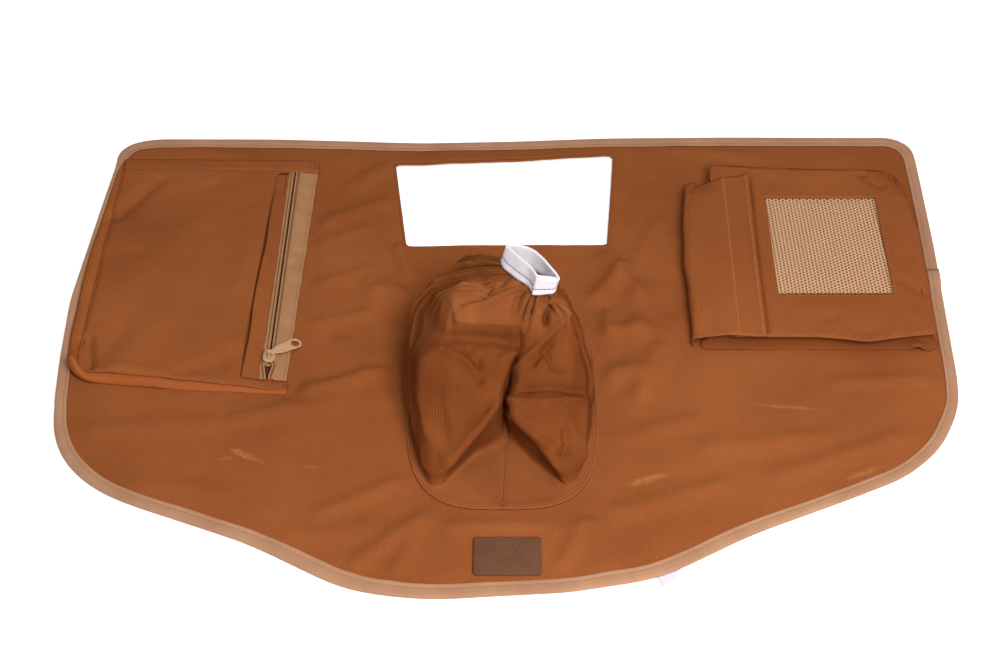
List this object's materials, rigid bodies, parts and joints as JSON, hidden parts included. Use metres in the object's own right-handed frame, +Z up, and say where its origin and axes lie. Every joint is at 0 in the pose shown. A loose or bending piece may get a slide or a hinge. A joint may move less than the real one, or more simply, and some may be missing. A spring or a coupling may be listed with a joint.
{
  "type": "sleeved canvas cover panel",
  "caption": "Flat canvas cover panel with bound edges, a window, a gathered sleeve ending in an elastic cuff, a zipped bellows pocket and a flap pocket with a mesh front.",
  "frame": {"origin": "middle of the panel's outline, on its underside", "axes": "+X across the panel to the mesh pocket, +Y to the straight top edge with the window, +Z up out of the panel, the way the sleeve stands"},
  "size_m": [0.6898, 0.53, 0.107],
  "materials": {
    "canvas": "woven, matt",
    "sleeve_cloth": "thin, coated, slight sheen",
    "binding": "ribbed tape",
    "elastic": "knitted elastic",
    "white_cloth": "thin woven",
    "label": "matt",
    "zip_tape": "woven",
    "zip_coil": "moulded",
    "zip_metal": "painted",
    "mesh": "open knitted net",
    "hook_and_loop": "hook and loop"
  },
  "bodies": {
    "panel": {"main_panel": "canvas", "edge_binding": "binding", "window_facing": "canvas", "label_patch": "label", "care_label": "white_cloth", "sleeve": "sleeve_cloth", "zip_pocket_gusset": "canvas", "zip_strip": "canvas", "zip_end_tabs": "canvas", "zip_tape_left": "zip_tape", "zip_tape_right": "zip_tape", "zip_coil_left": "zip_coil", "zip_coil_right": "zip_coil", "mesh_pocket_gusset": "canvas", "flap_riser": "canvas"},
    "cuff": {"elastic_cuff": "elastic"},
    "zip_pocket": {"zip_pocket_front": "canvas"},
    "zip_slider": {"zip_slider": "zip_metal"},
    "zip_puller": {"zip_puller": "zip_metal"},
    "mesh_pocket": {"mesh_pocket_front": "canvas", "mesh_insert": "mesh", "loop_tape": "hook_and_loop"},
    "flap": {"pocket_flap": "canvas", "hook_tape": "hook_and_loop"}
  },
  "joints": [
    {"name": "cuff_travel", "type": "slide", "parent": "panel", "child": "cuff", "axis": [0, 0, 1], "range_m": [-0.06, 0.035], "stiffness_N_per_m": 20, "deforming": ["sleeve"]},
    {"name": "zip_pocket_fill", "type": "slide", "parent": "panel", "child": "zip_pocket", "axis": [0, 0, 1], "range_m": [0, 0.02], "deforming": ["zip_pocket_gusset", "zip_strip"]},
    {"name": "zip_travel", "type": "slide", "parent": "panel", "child": "zip_slider", "axis": [0, 1, 0], "range_m": [-0.012, 0.22]},
    {"name": "puller_swing", "type": "hinge", "parent": "zip_slider", "child": "zip_puller", "pos_m": [-0.1819, -0.027, 0.0086], "axis": [0, -1, 0], "range_deg": [0, 135]},
    {"name": "mesh_pocket_fill", "type": "slide", "parent": "panel", "child": "mesh_pocket", "axis": [0, 0, 1], "range_m": [0, 0.025], "deforming": ["mesh_pocket_gusset", "flap_riser"]},
    {"name": "flap_lift", "type": "hinge", "parent": "mesh_pocket", "child": "flap", "pos_m": [0.1521, 0.097, 0.0164], "axis": [0, -1, 0], "range_deg": [0, 185]}
  ]
}
